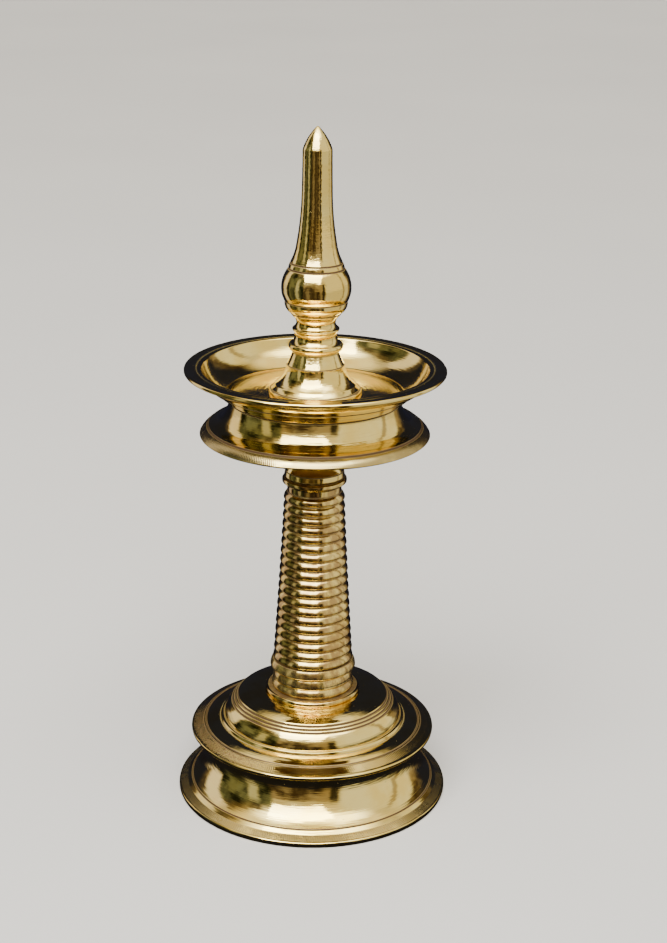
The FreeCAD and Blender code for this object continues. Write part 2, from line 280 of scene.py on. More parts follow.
def cut_brass(name):
    """The studs' threads: cut, never polished, and dark in the roots."""
    s = Surface(name)
    soil = s.attribute("soil")
    fine = s.lathe_lines(0.10, breaks=3.0)
    grain = s.speckle(0.6, detail=3.0)
    hue = mix_colour(grain, (0.72, 0.52, 0.24), (0.84, 0.65, 0.34))
    hue = mix_colour(soil * (0.55 + grain * 0.4), hue, (0.12, 0.07, 0.03))
    s.relief((fine - 0.5) * 0.006 + (grain - 0.5) * 0.008)
    return s.set(Base_Color=hue, Metallic=1.0, Roughness=0.22 + grain * 0.14 + soil * 0.25)


def oiled_leather(name):
    """The washer that keeps the oil in: hide with a fine grain, dark where the flange presses on it."""
    s = Surface(name)
    cells = s.node("ShaderNodeTexVoronoi", {"feature": "DISTANCE_TO_EDGE"}, s.place, Scale=1.9)
    crease = smooth_step(cells, 0.16, 0.02)
    blotch = s.speckle(4.0, detail=3.0)
    fibre = s.speckle(0.35, detail=3.0, roughness=0.65)
    hue = mix_colour(blotch, (0.16, 0.075, 0.030), (0.30, 0.155, 0.070))
    hue = mix_colour(crease * 0.7, hue, (0.07, 0.032, 0.014))
    s.relief((1 - crease) * 0.06 + fibre * 0.05)
    return s.set(Base_Color=hue, Roughness=0.42 + blotch * 0.2 + fibre * 0.1, Specular_IOR_Level=0.45)


def room_light(azimuth, elevation, place):
    """The room as the brass mirrors it: soft panels round the lamp, with darker gaps between them.

    azimuth is in degrees from the front towards +X, and elevation in degrees above the horizon.
    place is a direction, for the unevenness of the walls."""
    ground = -60
    level_soft = 8

    def panel(left, right, low, high, soft=3):
        """1 between these azimuths and elevations, 0 outside."""
        sides = smooth_step(azimuth, left - soft, left + soft)
        sides = sides * smooth_step(azimuth, right + soft, right - soft)
        ends = smooth_step(elevation, low - level_soft, low + level_soft)
        return sides * ends * smooth_step(elevation, high + level_soft, high - level_soft)

    uneven = add_node(azimuth.tree, "ShaderNodeTexNoise", None, place, Scale=2.6, Detail=3.0, Roughness=0.6)
    light = mix_colour(smooth_step(uneven, 0.38, 0.62), (0.055, 0.036, 0.022), (0.42, 0.33, 0.23))
    light = mix_colour(panel(-60, 34, 26, 90), light, (1.05, 0.92, 0.70))
    behind = smooth_step(azimuth.math("ABSOLUTE"), 130, 142)
    light = mix_colour(behind, light, (0.018, 0.020, 0.042))
    leaves = mix_colour(smooth_step(uneven, 0.42, 0.66), (0.014, 0.016, 0.008), (0.20, 0.21, 0.14))
    light = mix_colour(panel(-112, -44, ground, 40), light, leaves)
    light = mix_colour(panel(-72, -60, ground, 30), light, (0.62, 0.60, 0.48))
    light = mix_colour(panel(20, 29, ground, 24, 2), light, (0.045, 0.036, 0.024))
    light = mix_colour(panel(31, 124, ground, 50), light, (1.10, 1.02, 0.84))
    light = mix_colour(panel(96, 103, ground, 45, 2), light, (0.52, 0.43, 0.32))
    light = mix_colour(panel(-131, -112, ground, 48), light, (1.15, 1.02, 0.95))
    light = mix_colour(smooth_step(elevation, 44, 60), light, (1.5, 1.32, 1.02))
    return mix_colour(panel(-75, 75, 52, 74, 20), light, (6.0, 5.9, 5.6))


def floor_paper(name):
    """Pale seamless studio paper. For glossy rays it glows with a painted reflection of the room's light, with
    painted shade near the lamp.
    """
    s = Surface(name)
    tooth = s.speckle(1.5, detail=4.0)
    drift = s.speckle(400, detail=2.0)
    hue = mix_colour(drift, (0.60, 0.60, 0.60), (0.66, 0.66, 0.655))
    s.relief(tooth * 0.03)
    s.set(Base_Color=hue, Roughness=0.85, Specular_IOR_Level=0.15)

    azimuth = s.side.math("ARCTAN2", -s.front) * (180 / math.pi)
    elevation = -((180 / s.radius).math("ARCTANGENT")) * (180 / math.pi)
    place = s.node("ShaderNodeVectorMath", {"operation": "NORMALIZE"}, s.place)
    walls = room_light(azimuth, elevation, place)
    # painted shade: near the lamp the paper shows the brass a dark floor, standing for the shade under it
    painted_floor_shade = (0.018, 0.018, 0.030)
    shown = mix_colour(smooth_step(s.radius, 130, 290), painted_floor_shade, walls)
    # painted reflection: glossy rays see the paper glow with the room's colours
    painted_reflection = s.node("ShaderNodeEmission", None, shown, 0.75)
    mirrored = s.node("ShaderNodeLightPath", out="Is Glossy Ray")
    paper = Wire(s.tree, s.shader.outputs[0])
    both = s.node("ShaderNodeMixShader", None, mirrored, paper, painted_reflection)
    s.tree.links.new(both.socket, s.tree.nodes["Material Output"].inputs["Surface"])
    return s.material


# ------------------------------------------------------------- turned outlines
class Outline:
    """The outline of a turned section: radius and height in millimetres, walked with the metal on its left.

    Each stretch carries marks from 0 to 1: soil is the tarnish left in it, rough is how it was finished,
    and chatter is how much the tool sang there."""

    def __init__(self, radius, height, rough=0.0, loop=True):
        self.at = (radius, height)
        self.start = self.at
        self.rough = rough
        self.chatter = 0.0
        self.loop = loop
        self.stretches = []

    def to(self, radius, height, bow=0.0, corner=0.22, soil=0.0):
        """Straight to a point, or along an arc that bows out of the metal. corner rounds the arrival."""
        marks = np.array([soil, self.rough, self.chatter])
        self.stretches.append((self.at, (radius, height), bow, corner, marks))
        self.at = (radius, height)

    def by(self, width, rise, bow=0.0, corner=0.22, soil=0.0):
        """To a point this far out and up from the present one."""
        self.to(self.at[0] + width, self.at[1] + rise, bow, corner, soil)

    def groove(self, radius, height, depth):
        """To a point through a scored line with a dirty bottom."""
        middle = point_on(self.at, (radius, height), -depth, 0.5)
        self.to(*middle, corner=depth * 0.35, soil=1.0)
        self.to(radius, height, corner=0.12, soil=1.0)

    def feed_marks(self, radius, height, count, depth=0.05):
        """To a point over the shallow scallops that a coarse feed leaves."""
        first = self.at
        for step in range(1, count + 1):
            share = step / count
            radius_now = first[0] + (radius - first[0]) * share
            height_now = first[1] + (height - first[1]) * share
            self.to(radius_now, height_now, bow=-depth, corner=0.08, soil=0.12)

    def sampled(self):
        """Points along the outline with rounded corners: radius, height and the three marks."""
        if self.loop:
            self.to(*self.start, corner=0.1)
        count = len(self.stretches)
        lengths = [math.dist(s[0], s[1]) for s in self.stretches]
        cuts = []
        for index, (_, _, _, corner, _) in enumerate(self.stretches):
            last = index == count - 1 and not self.loop
            room = 0.38 * min(lengths[index], lengths[(index + 1) % count])
            cuts.append(0.0 if last else min(corner, room))
        points = []
        for index, (a, b, bow, _, marks) in enumerate(self.stretches):
            length = lengths[index]
            before = cuts[index - 1] if index or self.loop else 0.0
            first, last = before / length, 1 - cuts[index] / length
            for share in shares_along(first, last, length, bow):
                points.append((*point_on(a, b, bow, share), *marks))
            if cuts[index]:
                points += self.rounded(index, cuts, lengths)
        return np.array(points)

    def rounded(self, index, cuts, lengths):
        """The points that round the corner at the end of a stretch."""
        after = (index + 1) % len(self.stretches)
        a, b, bow, _, marks = self.stretches[index]
        c, d, next_bow, _, next_marks = self.stretches[after]
        start = np.array(point_on(a, b, bow, 1 - cuts[index] / lengths[index]))
        end = np.array(point_on(c, d, next_bow, cuts[index] / lengths[after]))
        corner = np.array(b)
        for share in (0.25, 0.5, 0.75):
            at = (1 - share) ** 2 * start + 2 * share * (1 - share) * corner + share**2 * end
            yield (*at, *(np.maximum(marks, next_marks) * 0.7 + np.minimum(marks, next_marks) * 0.3))


def point_on(a, b, bow, share):
    """A point on the arc from a to b that stands bow to the right of the way."""
    run, rise = b[0] - a[0], b[1] - a[1]
    chord = math.hypot(run, rise)
    along = (run / chord, rise / chord)
    right = (along[1], -along[0])
    if abs(bow) < 1e-6:
        return a[0] + run * share, a[1] + rise * share
    radius = (chord * chord / 4 + bow * bow) / (2 * abs(bow))
    half = 2 * math.atan(2 * abs(bow) / chord)
    angle = half * (2 * share - 1)
    out = math.copysign(radius * math.cos(angle) - radius + abs(bow), bow)
    ahead = chord / 2 + radius * math.sin(angle)
    return a[0] + along[0] * ahead + right[0] * out, a[1] + along[1] * ahead + right[1] * out


def shares_along(first, last, length, bow):
    """Where a stretch gets its points, with one close to each end so that flat parts look flat."""
    support = 0.15 / length
    if last - first <= 3 * support:
        return [first, last]
    step = 0.9 if bow else 3.0
    inner = max(1, math.ceil((last - first) * length / step))
    middle = np.linspace(first + support, last - support, inner + 1)
    return [first, *middle, last]


def turned(name, outlines, lift, steps=turn_steps, dents=()):
    """Outlines turned round the axis into one mesh, lift millimetres up.

    A loop closes on itself, an outline between two points of the axis closes at its poles, and another
    stays open. dents are (degrees, radius, height, size, depth)."""
    turn = np.arange(steps)
    after = (turn + 1) % steps
    angles = turn * (2 * math.pi / steps)
    verts, marks, faces = np.empty((0, 3)), np.empty((0, 3)), []
    for outline in outlines:
        points = outline.sampled()
        poles = points[0][0] < 0.001
        rings = points[1:-1] if poles else points
        radius, height = rings[:, 0:1], rings[:, 1:2] + lift
        around = [radius * np.cos(angles), radius * np.sin(angles), np.repeat(height, steps, axis=1)]
        first = len(verts)
        last = first + (len(rings) - 1) * steps
        row = np.arange(len(rings) if outline.loop else len(rings) - 1)[:, None]
        this, above = first + row * steps, first + (row + 1) % len(rings) * steps
        quads = [this + turn, this + after, above + after, above + turn]
        faces += np.stack([q.ravel() for q in quads], axis=-1).tolist()
        verts = np.vstack([verts, np.stack(around, axis=-1).reshape(-1, 3)])
        marks = np.vstack([marks, np.repeat(rings[:, 2:], steps, axis=0)])
        if poles:
            pole = len(verts)
            faces += [(pole, first + b, first + a) for a, b in zip(turn.tolist(), after.tolist())]
            faces += [(pole + 1, last + a, last + b) for a, b in zip(turn.tolist(), after.tolist())]
            ends = [[0, 0, points[0][1] + lift], [0, 0, points[-1][1] + lift]]
            verts = np.vstack([verts, ends])
            marks = np.vstack([marks, points[[0, -1], 2:]])
    for degrees, at_radius, at_height, size, depth in dents:
        verts = dented(verts, degrees, at_radius, at_height + lift, size, depth)
    return solid_piece(name, verts, faces, marks)


def solid_piece(name, verts, faces, marks=None):
    """A smooth mesh object from corners in millimetres, with its marks as attributes."""
    mesh = bpy.data.meshes.new(name)
    mesh.from_pydata((np.array(verts) * mm).tolist(), [], faces)
    if marks is not None:
        for place, label in enumerate(("soil", "rough", "chatter")):
            values = marks[:, place].astype(np.float32)
            mesh.attributes.new(label, "FLOAT", "POINT").data.foreach_set("value", values)
    mesh.polygons.foreach_set("use_smooth", [True] * len(mesh.polygons))
    mesh.update()
    piece = bpy.data.objects.new(name, mesh)
    bpy.context.scene.collection.objects.link(piece)
    return piece


def dented(verts, degrees, radius, height, size, depth):
    """Pushes the metal in round one point, as a knock does."""
    angle = math.radians(degrees)
    way = np.array([math.cos(angle), math.sin(angle), 0.0])
    centre = way * radius + np.array([0, 0, height])
    far = np.linalg.norm(verts - centre, axis=1)
    push = depth * np.exp(-((far / size) ** 2))
    return verts - push[:, None] * way


def reach(node):
    """The largest radius in millimetres that a node's box holds."""
    low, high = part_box(node)
    return min(-low.x, -low.y, high.x, high.y) / mm


def level(node, end):
    """The lowest (0) or highest (1) height of a node's box in millimetres."""
    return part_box(node)[end].z / mm


# --------------------------------------------------------------- rules for repeats
class Rule:
    """A Geometry Nodes tree with named inputs."""

    def __init__(self, name, inputs):
        self.tree = bpy.data.node_groups.new(name, "GeometryNodeTree")
        face = self.tree.interface
        face.new_socket("Geometry", in_out="OUTPUT", socket_type="NodeSocketGeometry")
        face.new_socket("Geometry", in_out="INPUT", socket_type="NodeSocketGeometry")
        kinds = {int: "NodeSocketInt", float: "NodeSocketFloat"}
        finish = face.new_socket("Finish", in_out="INPUT", socket_type="NodeSocketMaterial")
        self.sockets = {"Finish": finish}
        for label, value in inputs.items():
            self.sockets[label] = face.new_socket(label, in_out="INPUT", socket_type=kinds[type(value)])
            self.sockets[label].default_value = value
        self.source = self.tree.nodes.new("NodeGroupInput")

    def node(self, kind, settings=None, *values, out=0, **named):
        return add_node(self.tree, kind, settings, *values, out=out, **named)

    def take(self, label):
        return Wire(self.tree, self.source.outputs[label])

    def place(self, x, y, z):
        return self.node("ShaderNodeCombineXYZ", None, x, y, z)

    def mark(self, geometry, label, value):
        kind = "GeometryNodeStoreNamedAttribute"
        settings = {"data_type": "FLOAT", "domain": "POINT"}
        return self.node(kind, settings, Geometry=geometry, Name=label, Value=value)

    def join(self, *parts):
        joined = self.tree.nodes.new("GeometryNodeJoinGeometry")
        for part in parts:
            self.tree.links.new(part.socket, joined.inputs[0])
        return Wire(self.tree, joined.outputs[0])

    def end(self, geometry):
        """Realizes, shades and finishes the result."""
        real = self.node("GeometryNodeRealizeInstances", None, geometry)
        smooth = self.node("GeometryNodeSetShadeSmooth", None, real)
        done = self.node("GeometryNodeSetMaterial", None, smooth, Material=self.take("Finish"))
        end = self.tree.nodes.new("NodeGroupOutput")
        self.tree.links.new(done.socket, end.inputs[0])

    def grow(self, piece, finish, **values):
        """Runs the rule on a piece, and keeps the result as a plain mesh."""
        modifier = piece.modifiers.new("rule", "NODES")
        modifier.node_group = self.tree
        modifier[self.sockets["Finish"].identifier] = finish
        for label, value in values.items():
            modifier[self.sockets[label.replace("_", " ")].identifier] = value
        shown = piece.evaluated_get(bpy.context.evaluated_depsgraph_get())
        mesh = bpy.data.meshes.new_from_object(shown)
        mesh.name = piece.name
        piece.modifiers.clear()
        piece.data = mesh
        return piece


def sheet_round(rule, steps, rows):
    """A grid to wrap round the axis: its points, the turn in radians, and the row as a number."""
    grid = rule.node("GeometryNodeMeshGrid", None, 1.0, 1.0, steps + 1, rows + 1)
    at = rule.node("ShaderNodeSeparateXYZ", None, rule.node("GeometryNodeInputPosition"))
    turn = (at + 0.5) * (2 * math.pi)
    row = (at.other("Y") + 0.5) * rows
    return grid, turn, row


def wrap(rule, grid, turn, radius, height):
    """The grid laid round the axis, with its seam closed."""
    where = rule.place(radius * turn.math("COSINE"), radius * turn.math("SINE"), height)
    laid = rule.node("GeometryNodeSetPosition", None, Geometry=grid, Position=where)
    return rule.node("GeometryNodeMergeByDistance", None, laid, Distance=1e-7)


def ringed_shaft_rule():
    """Rings stacked up a tapering shaft, joined to the rest of the column."""
    rule = Rule("ringed_shaft", {
        "Rings": 19, "Rows per Ring": 14, "Crest Row": 4, "Steps": 192, "Foot": 0.0, "Pitch": 0.0042,
        "Depth": 0.0015, "Bottom Radius": 0.018, "Top Radius": 0.0134, "Hollow": 0.0002,
    })
    rings, rows_each, crest_row = (rule.take(n) for n in ("Rings", "Rows per Ring", "Crest Row"))
    grid, turn, row = sheet_round(rule, rule.take("Steps"), rings * rows_each)
    climb = row.math("ROUND") / rows_each
    inside = climb.math("FRACT")
    crest_share = crest_row / rows_each
    below = (inside / crest_share).math("MINIMUM", 1.0)
    above = ((inside - crest_share) / (1 - crest_share)).math("MAXIMUM", 0.0)
    swell = (1 - (1 - below) ** 1.6) * (1 - above**2.1)
    share = climb / rings
    straight = rule.take("Bottom Radius") + (rule.take("Top Radius") - rule.take("Bottom Radius")) * share
    crest = straight - share * (1 - share) * 4 * rule.take("Hollow")
    radius = crest - (1 - swell) * rule.take("Depth")
    shaft = rule.mark(grid, "soil", (1 - swell) ** 4.0 * 0.9)
    shaft = rule.mark(shaft, "rough", 0.0)
    shaft = wrap(rule, shaft, turn, radius, rule.take("Foot") + climb * rule.take("Pitch"))
    whole = rule.join(rule.take("Geometry"), shaft)
    rule.end(rule.node("GeometryNodeMergeByDistance", None, whole, Distance=2e-6))
    return rule


def thread_rule():
    """A screw thread as one helical ridge round a rod, with a bevel at each end."""
    rule = Rule("screw_thread", {
        "Steps": 48, "Rows": 200, "Foot": 0.0, "Length": 0.03, "Crest Radius": 0.005, "Root Radius": 0.0041,
        "Pitch": 0.002, "Bevel": 0.0008,
    })
    rows, length = rule.take("Rows"), rule.take("Length")
    grid, turn, row = sheet_round(rule, rule.take("Steps"), rows)
    whole_row = row.math("ROUND")
    climb = ((whole_row - 1) / (rows - 2)).math("MULTIPLY", 1.0, clamp=True) * length
    phase = (climb / rule.take("Pitch") - turn / (2 * math.pi)).math("FRACT")
    ridge = (1.30 - (phase * 2 - 1).math("ABSOLUTE") * 1.75).math("MULTIPLY", 1.0, clamp=True)
    root = rule.take("Root Radius")
    radius = root + (rule.take("Crest Radius") - root) * ridge
    from_end = climb.math("MINIMUM", length - climb)
    bevelled = radius.math("MINIMUM", rule.take("Crest Radius") - rule.take("Bevel") + from_end)
    pole = whole_row.math("MINIMUM", rows - whole_row).math("MINIMUM", 1.0)
    rod = rule.mark(grid, "soil", (1 - ridge) * 0.9)
    rule.end(wrap(rule, rod, turn, bevelled * pole, rule.take("Foot") + climb))
    return rule


# ------------------------------------------------------------------- the sections
stud_hole = 5.15           # radius of a tapped hole
tapped_depth = 13.5
hole_bevel = 0.8
plain_hole = 5.6           # radius of a hole that a stud only passes through
column_bore = 8.5          # radius of the column's hollow
line_width = 0.7           # scored lines
line_depth = 0.35
foot_rim_width = 6.1       # from the foot's edge to its scored line
foot_flare_width = 10.8    # from there to its neck
hub_foot_radius = 13.3     # where the skirt's hub meets the column
spigot_height = 1.2        # the step under the dish that centres it in the skirt


def foot():
    radius = reach("foot")
    line = radius - foot_rim_width
    neck = line - foot_flare_width
    seat = level("base_disc", 0)
    post_top = level("foot", 1)
    web_underside = seat - 3.0
    inside = radius - 4.4

    o = Outline(stud_hole, web_underside, rough=1.0)
    o.to(neck - 2.0, web_underside, corner=1.2)
    o.to(neck - 2.0, 22.0, corner=2.0)
    o.to(line - 2.0, 4.5, bow=2.6, corner=1.2)
    o.to(inside, 0.5)
    o.rough = 0.35
    o.to(inside, 0.0, corner=0.15)
    o.to(radius - 0.8, 0.0, corner=0.6)
    o.rough = 0.12
    o.to(radius, 0.7, bow=0.2, corner=0.5)
    o.to(radius, 1.9, corner=0.45)
    o.rough = 0.0
    o.to(radius - 0.75, 2.5, bow=0.18, corner=0.25)
    o.rough, o.chatter = 0.22, 0.8
    o.to(radius - 4.0, 4.05, corner=0.2)
    o.rough = o.chatter = 0.0
    o.to(line + line_width / 2, 5.5, corner=0.15)
    o.groove(line - line_width / 2, 5.85, line_depth)
    o.to(neck, 23.0, bow=-2.6, corner=0.8)
    o.to(neck, seat, corner=0.35)
    o.rough = 0.3
    o.feed_marks(12.2, seat, 16)
    o.to(11.0, seat, corner=0.5, soil=0.5)
    o.to(11.0, post_top, corner=0.6)
    o.to(stud_hole + hole_bevel, post_top, corner=0.2)
    o.to(stud_hole, post_top - hole_bevel, corner=0.2)
    knocks = ((-38, radius, 1.6, 1.3, 0.22), (-151, radius, 2.0, 1.0, 0.16))
    return turned("foot_turned", [o], 0.0, dents=knocks)


def base_disc():
    radius = reach("base_disc")
    neck = reach("foot") - foot_rim_width - foot_flare_width
    top = level("base_disc", 1) - level("base_disc", 0)
    line = radius - 6.2
    bead = line - 7.2
    shoulder = bead - 1.7
    step = shoulder - 3.2

    o = Outline(plain_hole, top - 2.8, rough=0.9)
    o.to(step - 5.6, top - 2.8, corner=1.5)
    o.to(shoulder - 2.0, 7.5, bow=0.5, corner=1.0)
    o.to(neck - 3.4, 4.0)
    o.rough = 0.35
    o.to(neck - 3.4, 0.0)
    o.to(neck - 0.8, 0.0)
    o.to(neck - 0.8, 2.3, corner=0.6, soil=0.8)
    o.rough = 0.2
    o.to(radius - 0.5, 2.3, corner=0.4)
    o.rough = 0.0
    o.to(radius, 2.9, bow=0.1, corner=0.35)
    o.to(radius, 3.6, corner=0.3)
    o.to(radius - 0.5, 4.1, bow=0.08, corner=0.2)
    o.rough = 0.03
    o.to(radius - 1.7, 4.35, corner=0.2)
    o.chatter = 0.6
    o.to(line + 0.9, 5.95, corner=0.1)
    o.chatter = 0.0
    o.groove(line + 0.6, 6.05, 0.12)
    o.rough = 0.0
    o.to(line, 6.2, corner=0.12)
    o.groove(line - line_width, 6.25, line_depth)
    o.to(bead + 0.5, 7.55, bow=0.35, corner=0.3)
    o.to(bead, 7.65, corner=0.25, soil=0.7)
    o.to(bead - 0.15, 8.5, bow=0.12, corner=0.5)
    o.to(bead - 1.3, 9.15, bow=0.35, corner=0.4)
    o.to(shoulder, 9.05, corner=0.25, soil=0.85)
    o.to(step, 15.7, bow=0.75, corner=0.3)
    for count in range(3):
        at = (step - (count + 1) * 1.2, 15.7 + (count + 1) * 1.1)
        o.groove(at[0] + 0.55, at[1] - 0.5, 0.28)
        o.to(*at, bow=0.10, corner=0.2)
    o.to(23.6, top, bow=0.55, corner=0.5)
    o.feed_marks(21.0, top, 3, depth=0.012)
    o.rough = 0.2
    o.feed_marks(plain_hole + 0.5, top, 9, depth=0.03)
    o.to(plain_hole, top - 0.5)
    return turned("base_disc_turned", [o], level("base_disc", 0), dents=((203, radius, 3.6, 1.6, 0.2),))


def column():
    collar = reach("column")
    height = level("column", 1) - level("column", 0)
    lower_rings = ((18.7, 4.1), (18.1, 4.7), (19.4, 4.9))
    rings, pitch, depth = 19, 4.22, 1.5
    bottom_crest, top_crest = 18.1, 13.4
    lip_height = 3.3
    lip = 14.3
    thread_top = 15.0
    thread_foot = height - tapped_depth

    low = Outline(column_bore, thread_foot, rough=0.8, loop=False)
    low.to(column_bore, thread_top)
    low.to(stud_hole, thread_top)
    low.to(stud_hole, hole_bevel)
    low.to(stud_hole + hole_bevel, 0.0)
    low.rough = 0.3
    low.feed_marks(collar - 1.5, 0.0, 8)
    low.to(collar - 0.6, 0.0, corner=0.25)
    low.rough = 0.0
    low.to(collar, 0.8, bow=0.18, corner=0.4)
    low.to(collar - 0.35, 1.9, bow=0.06, corner=0.35)
    low.to(collar - 1.4, 2.3, bow=0.1, corner=0.3)
    low.to(17.5, 2.3, corner=0.3, soil=0.8)
    for crest, ring_height in lower_rings:
        low.by(crest - low.at[0] - 0.1, ring_height * 0.27, bow=0.3, corner=0.3, soil=0.15)
        low.to(crest - 1.2, low.at[1] + ring_height * 0.73, bow=0.32, corner=0.12, soil=0.25)
    shaft_foot = low.at[1]
    low.to(bottom_crest - depth, shaft_foot, corner=0.05, soil=0.8)

    high = Outline(top_crest - depth, shaft_foot + rings * pitch, loop=False)
    high.to(12.0, high.at[1] + 0.5, corner=0.3, soil=0.5)
    high.to(12.0, height - lip_height - 0.4, corner=0.6)
    high.to(lip - 0.1, height - 2.5, bow=-0.25, corner=0.3)
    high.to(lip, height - 1.5, corner=0.3)
    high.to(hub_foot_radius + 0.1, height - 0.35, bow=0.3, corner=0.2)
    high.to(hub_foot_radius - 0.4, height, corner=0.15, soil=0.9)
    high.rough = 0.3
    high.feed_marks(stud_hole + hole_bevel, height, 4)
    high.to(stud_hole, height - hole_bevel)
    high.to(stud_hole, thread_foot)
    high.to(column_bore, thread_foot)
    lift = level("column", 0)
    piece = turned("column_turned", [low, high], lift, steps=fine_turn_steps)
    return ringed_shaft_rule().grow(
        piece, brass["column"], Rings=rings, Steps=fine_turn_steps, Foot=(lift + shaft_foot) * mm,
        Pitch=pitch * mm, Depth=depth * mm, Bottom_Radius=bottom_crest * mm, Top_Radius=top_crest * mm,
    )


def skirt():
    radius = reach("skirt")
    seat = level("oil_dish", 0) + spigot_height - level("skirt", 0)
    line = radius - 3.5
    toe = line - 6.1
    neck = toe - 3.4
    hub = 10.0
    spigot_hole = 14.3
    web_underside = seat - 3.2
    lower_edge = seat - 15.8
    line_height = seat - 11.5
    toe_height = seat - 8.5

    o = Outline(0.0, 13.0, rough=0.9, loop=False)
    o.to(stud_hole, 13.0)
    o.to(stud_hole, hole_bevel)
    o.to(stud_hole + hole_bevel, 0.0)
    o.rough = 0.25
    o.feed_marks(hub_foot_radius - 0.6, 0.0, 4)
    o.rough = 0.0
    o.to(hub_foot_radius, 0.5, corner=0.2, soil=0.5)
    o.to(hub_foot_radius - 0.25, 2.6, bow=0.03, corner=0.12)
    o.groove(hub_foot_radius - 0.45, 3.0, 0.12)
    o.to(hub, 11.7, bow=-0.75, corner=0.8)
    o.rough = 0.3
    o.to(hub, web_underside, corner=1.5)
    o.rough = 0.95
    o.to(neck - 2.0, web_underside, corner=1.2)
    o.to(toe - 2.0, toe_height - 1.0, bow=0.5, corner=1.0)
    o.to(line - 2.0, line_height - 1.0, bow=0.75, corner=1.0)
    o.to(radius - 1.9, lower_edge, corner=0.3)
    o.rough = 0.3
    o.to(radius - 0.3, lower_edge, corner=0.25)
    o.rough = 0.04
    o.to(radius, lower_edge + 0.5, corner=0.3)
    o.chatter = 1.0
    o.to(line + line_width / 2 + 0.05, line_height - line_width / 2 - 0.1, bow=0.35, corner=0.2)
    o.rough = o.chatter = 0.0
    o.groove(line - line_width / 2, line_height + line_width / 2, line_depth)
    o.to(toe, toe_height, bow=-0.75, corner=0.8)
    o.to(neck, seat - 0.7, bow=-0.5, corner=0.4)
    o.to(neck, seat - 0.25, corner=0.15, soil=0.35)
    o.rough = 0.25
    o.to(neck - 0.25, seat, corner=0.1, soil=1.0)
    o.feed_marks(spigot_hole + 0.6, seat, 10)
    o.to(spigot_hole, seat - 0.4)
    o.to(spigot_hole, seat - 1.4)
    o.to(stud_hole + 0.6, seat - 1.4)
    o.to(stud_hole, seat - 2.0)
    o.to(stud_hole, seat - tapped_depth)
    o.to(0.0, seat - tapped_depth)
    return turned("skirt_turned", [o], level("skirt", 0), dents=((-28, radius, 20.2, 1.4, 0.2),))


def oil_dish():
    radius = reach("oil_dish")
    mouth = radius - 7.6
    floor_edge = mouth - 10.6
    base = floor_edge - 1.1
    spigot = 14.0
    seat = spigot_height
    rim_top = level("oil_dish", 1) - level("oil_dish", 0)
    rim_under = rim_top - 2.0
    floor = seat + 3.1
    ridge = mouth + 2.6

    o = Outline(plain_hole, 0.0, rough=0.3)
    o.to(spigot - 0.3, 0.0)
    o.to(spigot, 0.3)
    o.to(spigot, seat)
    o.feed_marks(base - 0.6, seat, 9)
    o.rough = 0.0
    o.to(base - 0.3, seat, corner=0.1, soil=1.0)
    o.to(base, seat + 0.3, corner=0.15, soil=1.0)
    o.to(floor_edge + 1.0, seat + 2.0, bow=0.12, corner=0.3, soil=0.12)
    o.to(floor_edge + 4.4, seat + 4.7, bow=0.25, corner=0.15)
    o.groove(floor_edge + 4.7, seat + 5.1, 0.16)
    o.to(mouth + 1.7, rim_under - 0.4, bow=0.9, corner=0.6)
    o.to(radius - 1.1, rim_under, bow=-0.15, corner=0.3, soil=0.1)
    o.rough = 0.06
    o.to(radius - 0.2, rim_under + 0.35, bow=0.1, corner=0.3)
    o.to(radius, rim_under + 1.0, bow=0.05, corner=0.3)
    o.to(radius - 0.25, rim_top - 0.30, bow=0.06, corner=0.25)
    o.to(radius - 0.9, rim_top - 0.02, bow=0.08, corner=0.2)
    o.to(ridge + 0.75, rim_top - 0.18, bow=-0.02, corner=0.12)
    o.to(ridge, rim_top, bow=0.05, corner=0.25)
    o.to(ridge - 0.7, rim_top - 0.2, bow=0.05, corner=0.12, soil=0.3)
    o.to(mouth + 0.7, rim_top - 0.12, corner=0.35)
    o.to(mouth, rim_top - 0.75, bow=0.12, corner=0.4)
    o.to(floor_edge, floor + 0.1, bow=-1.6, corner=1.6)
    o.rough = 0.04
    o.feed_marks(20.0, floor, 10, depth=0.012)
    o.rough = 0.3
    o.to(plain_hole, floor)
    knocks = ((6, radius, rim_top - 0.5, 1.3, 0.32), (-97, radius, rim_top - 1.0, 0.9, 0.14))
    return turned("oil_dish_turned", [o], level("oil_dish", 0), dents=knocks)


def oil_seal():
    low, high = level("oil_seal", 0), level("oil_seal", 1)
    thickness = high - low
    radius = reach("oil_seal")
    o = Outline(plain_hole, 0.1)
    o.to(plain_hole + 0.25, 0.0, corner=0.2)
    o.to(radius - 0.35, 0.0, corner=0.3)
    o.to(radius, 0.45, bow=0.08, corner=0.3)
    o.to(radius - 0.05, thickness - 0.4, bow=0.05, corner=0.3)
    o.to(radius - 0.5, thickness, bow=0.06, corner=0.3)
    o.to(12.4, thickness - 0.02, corner=0.6)
    o.to(10.6, thickness - 0.16, bow=-0.05, corner=0.6)
    o.to(8.6, thickness - 0.02, corner=0.6)
    o.to(plain_hole + 0.3, thickness, corner=0.3)
    o.to(plain_hole, thickness - 0.3, corner=0.2)
    return turned("oil_seal_washer", [o], low, steps=fine_turn_steps)


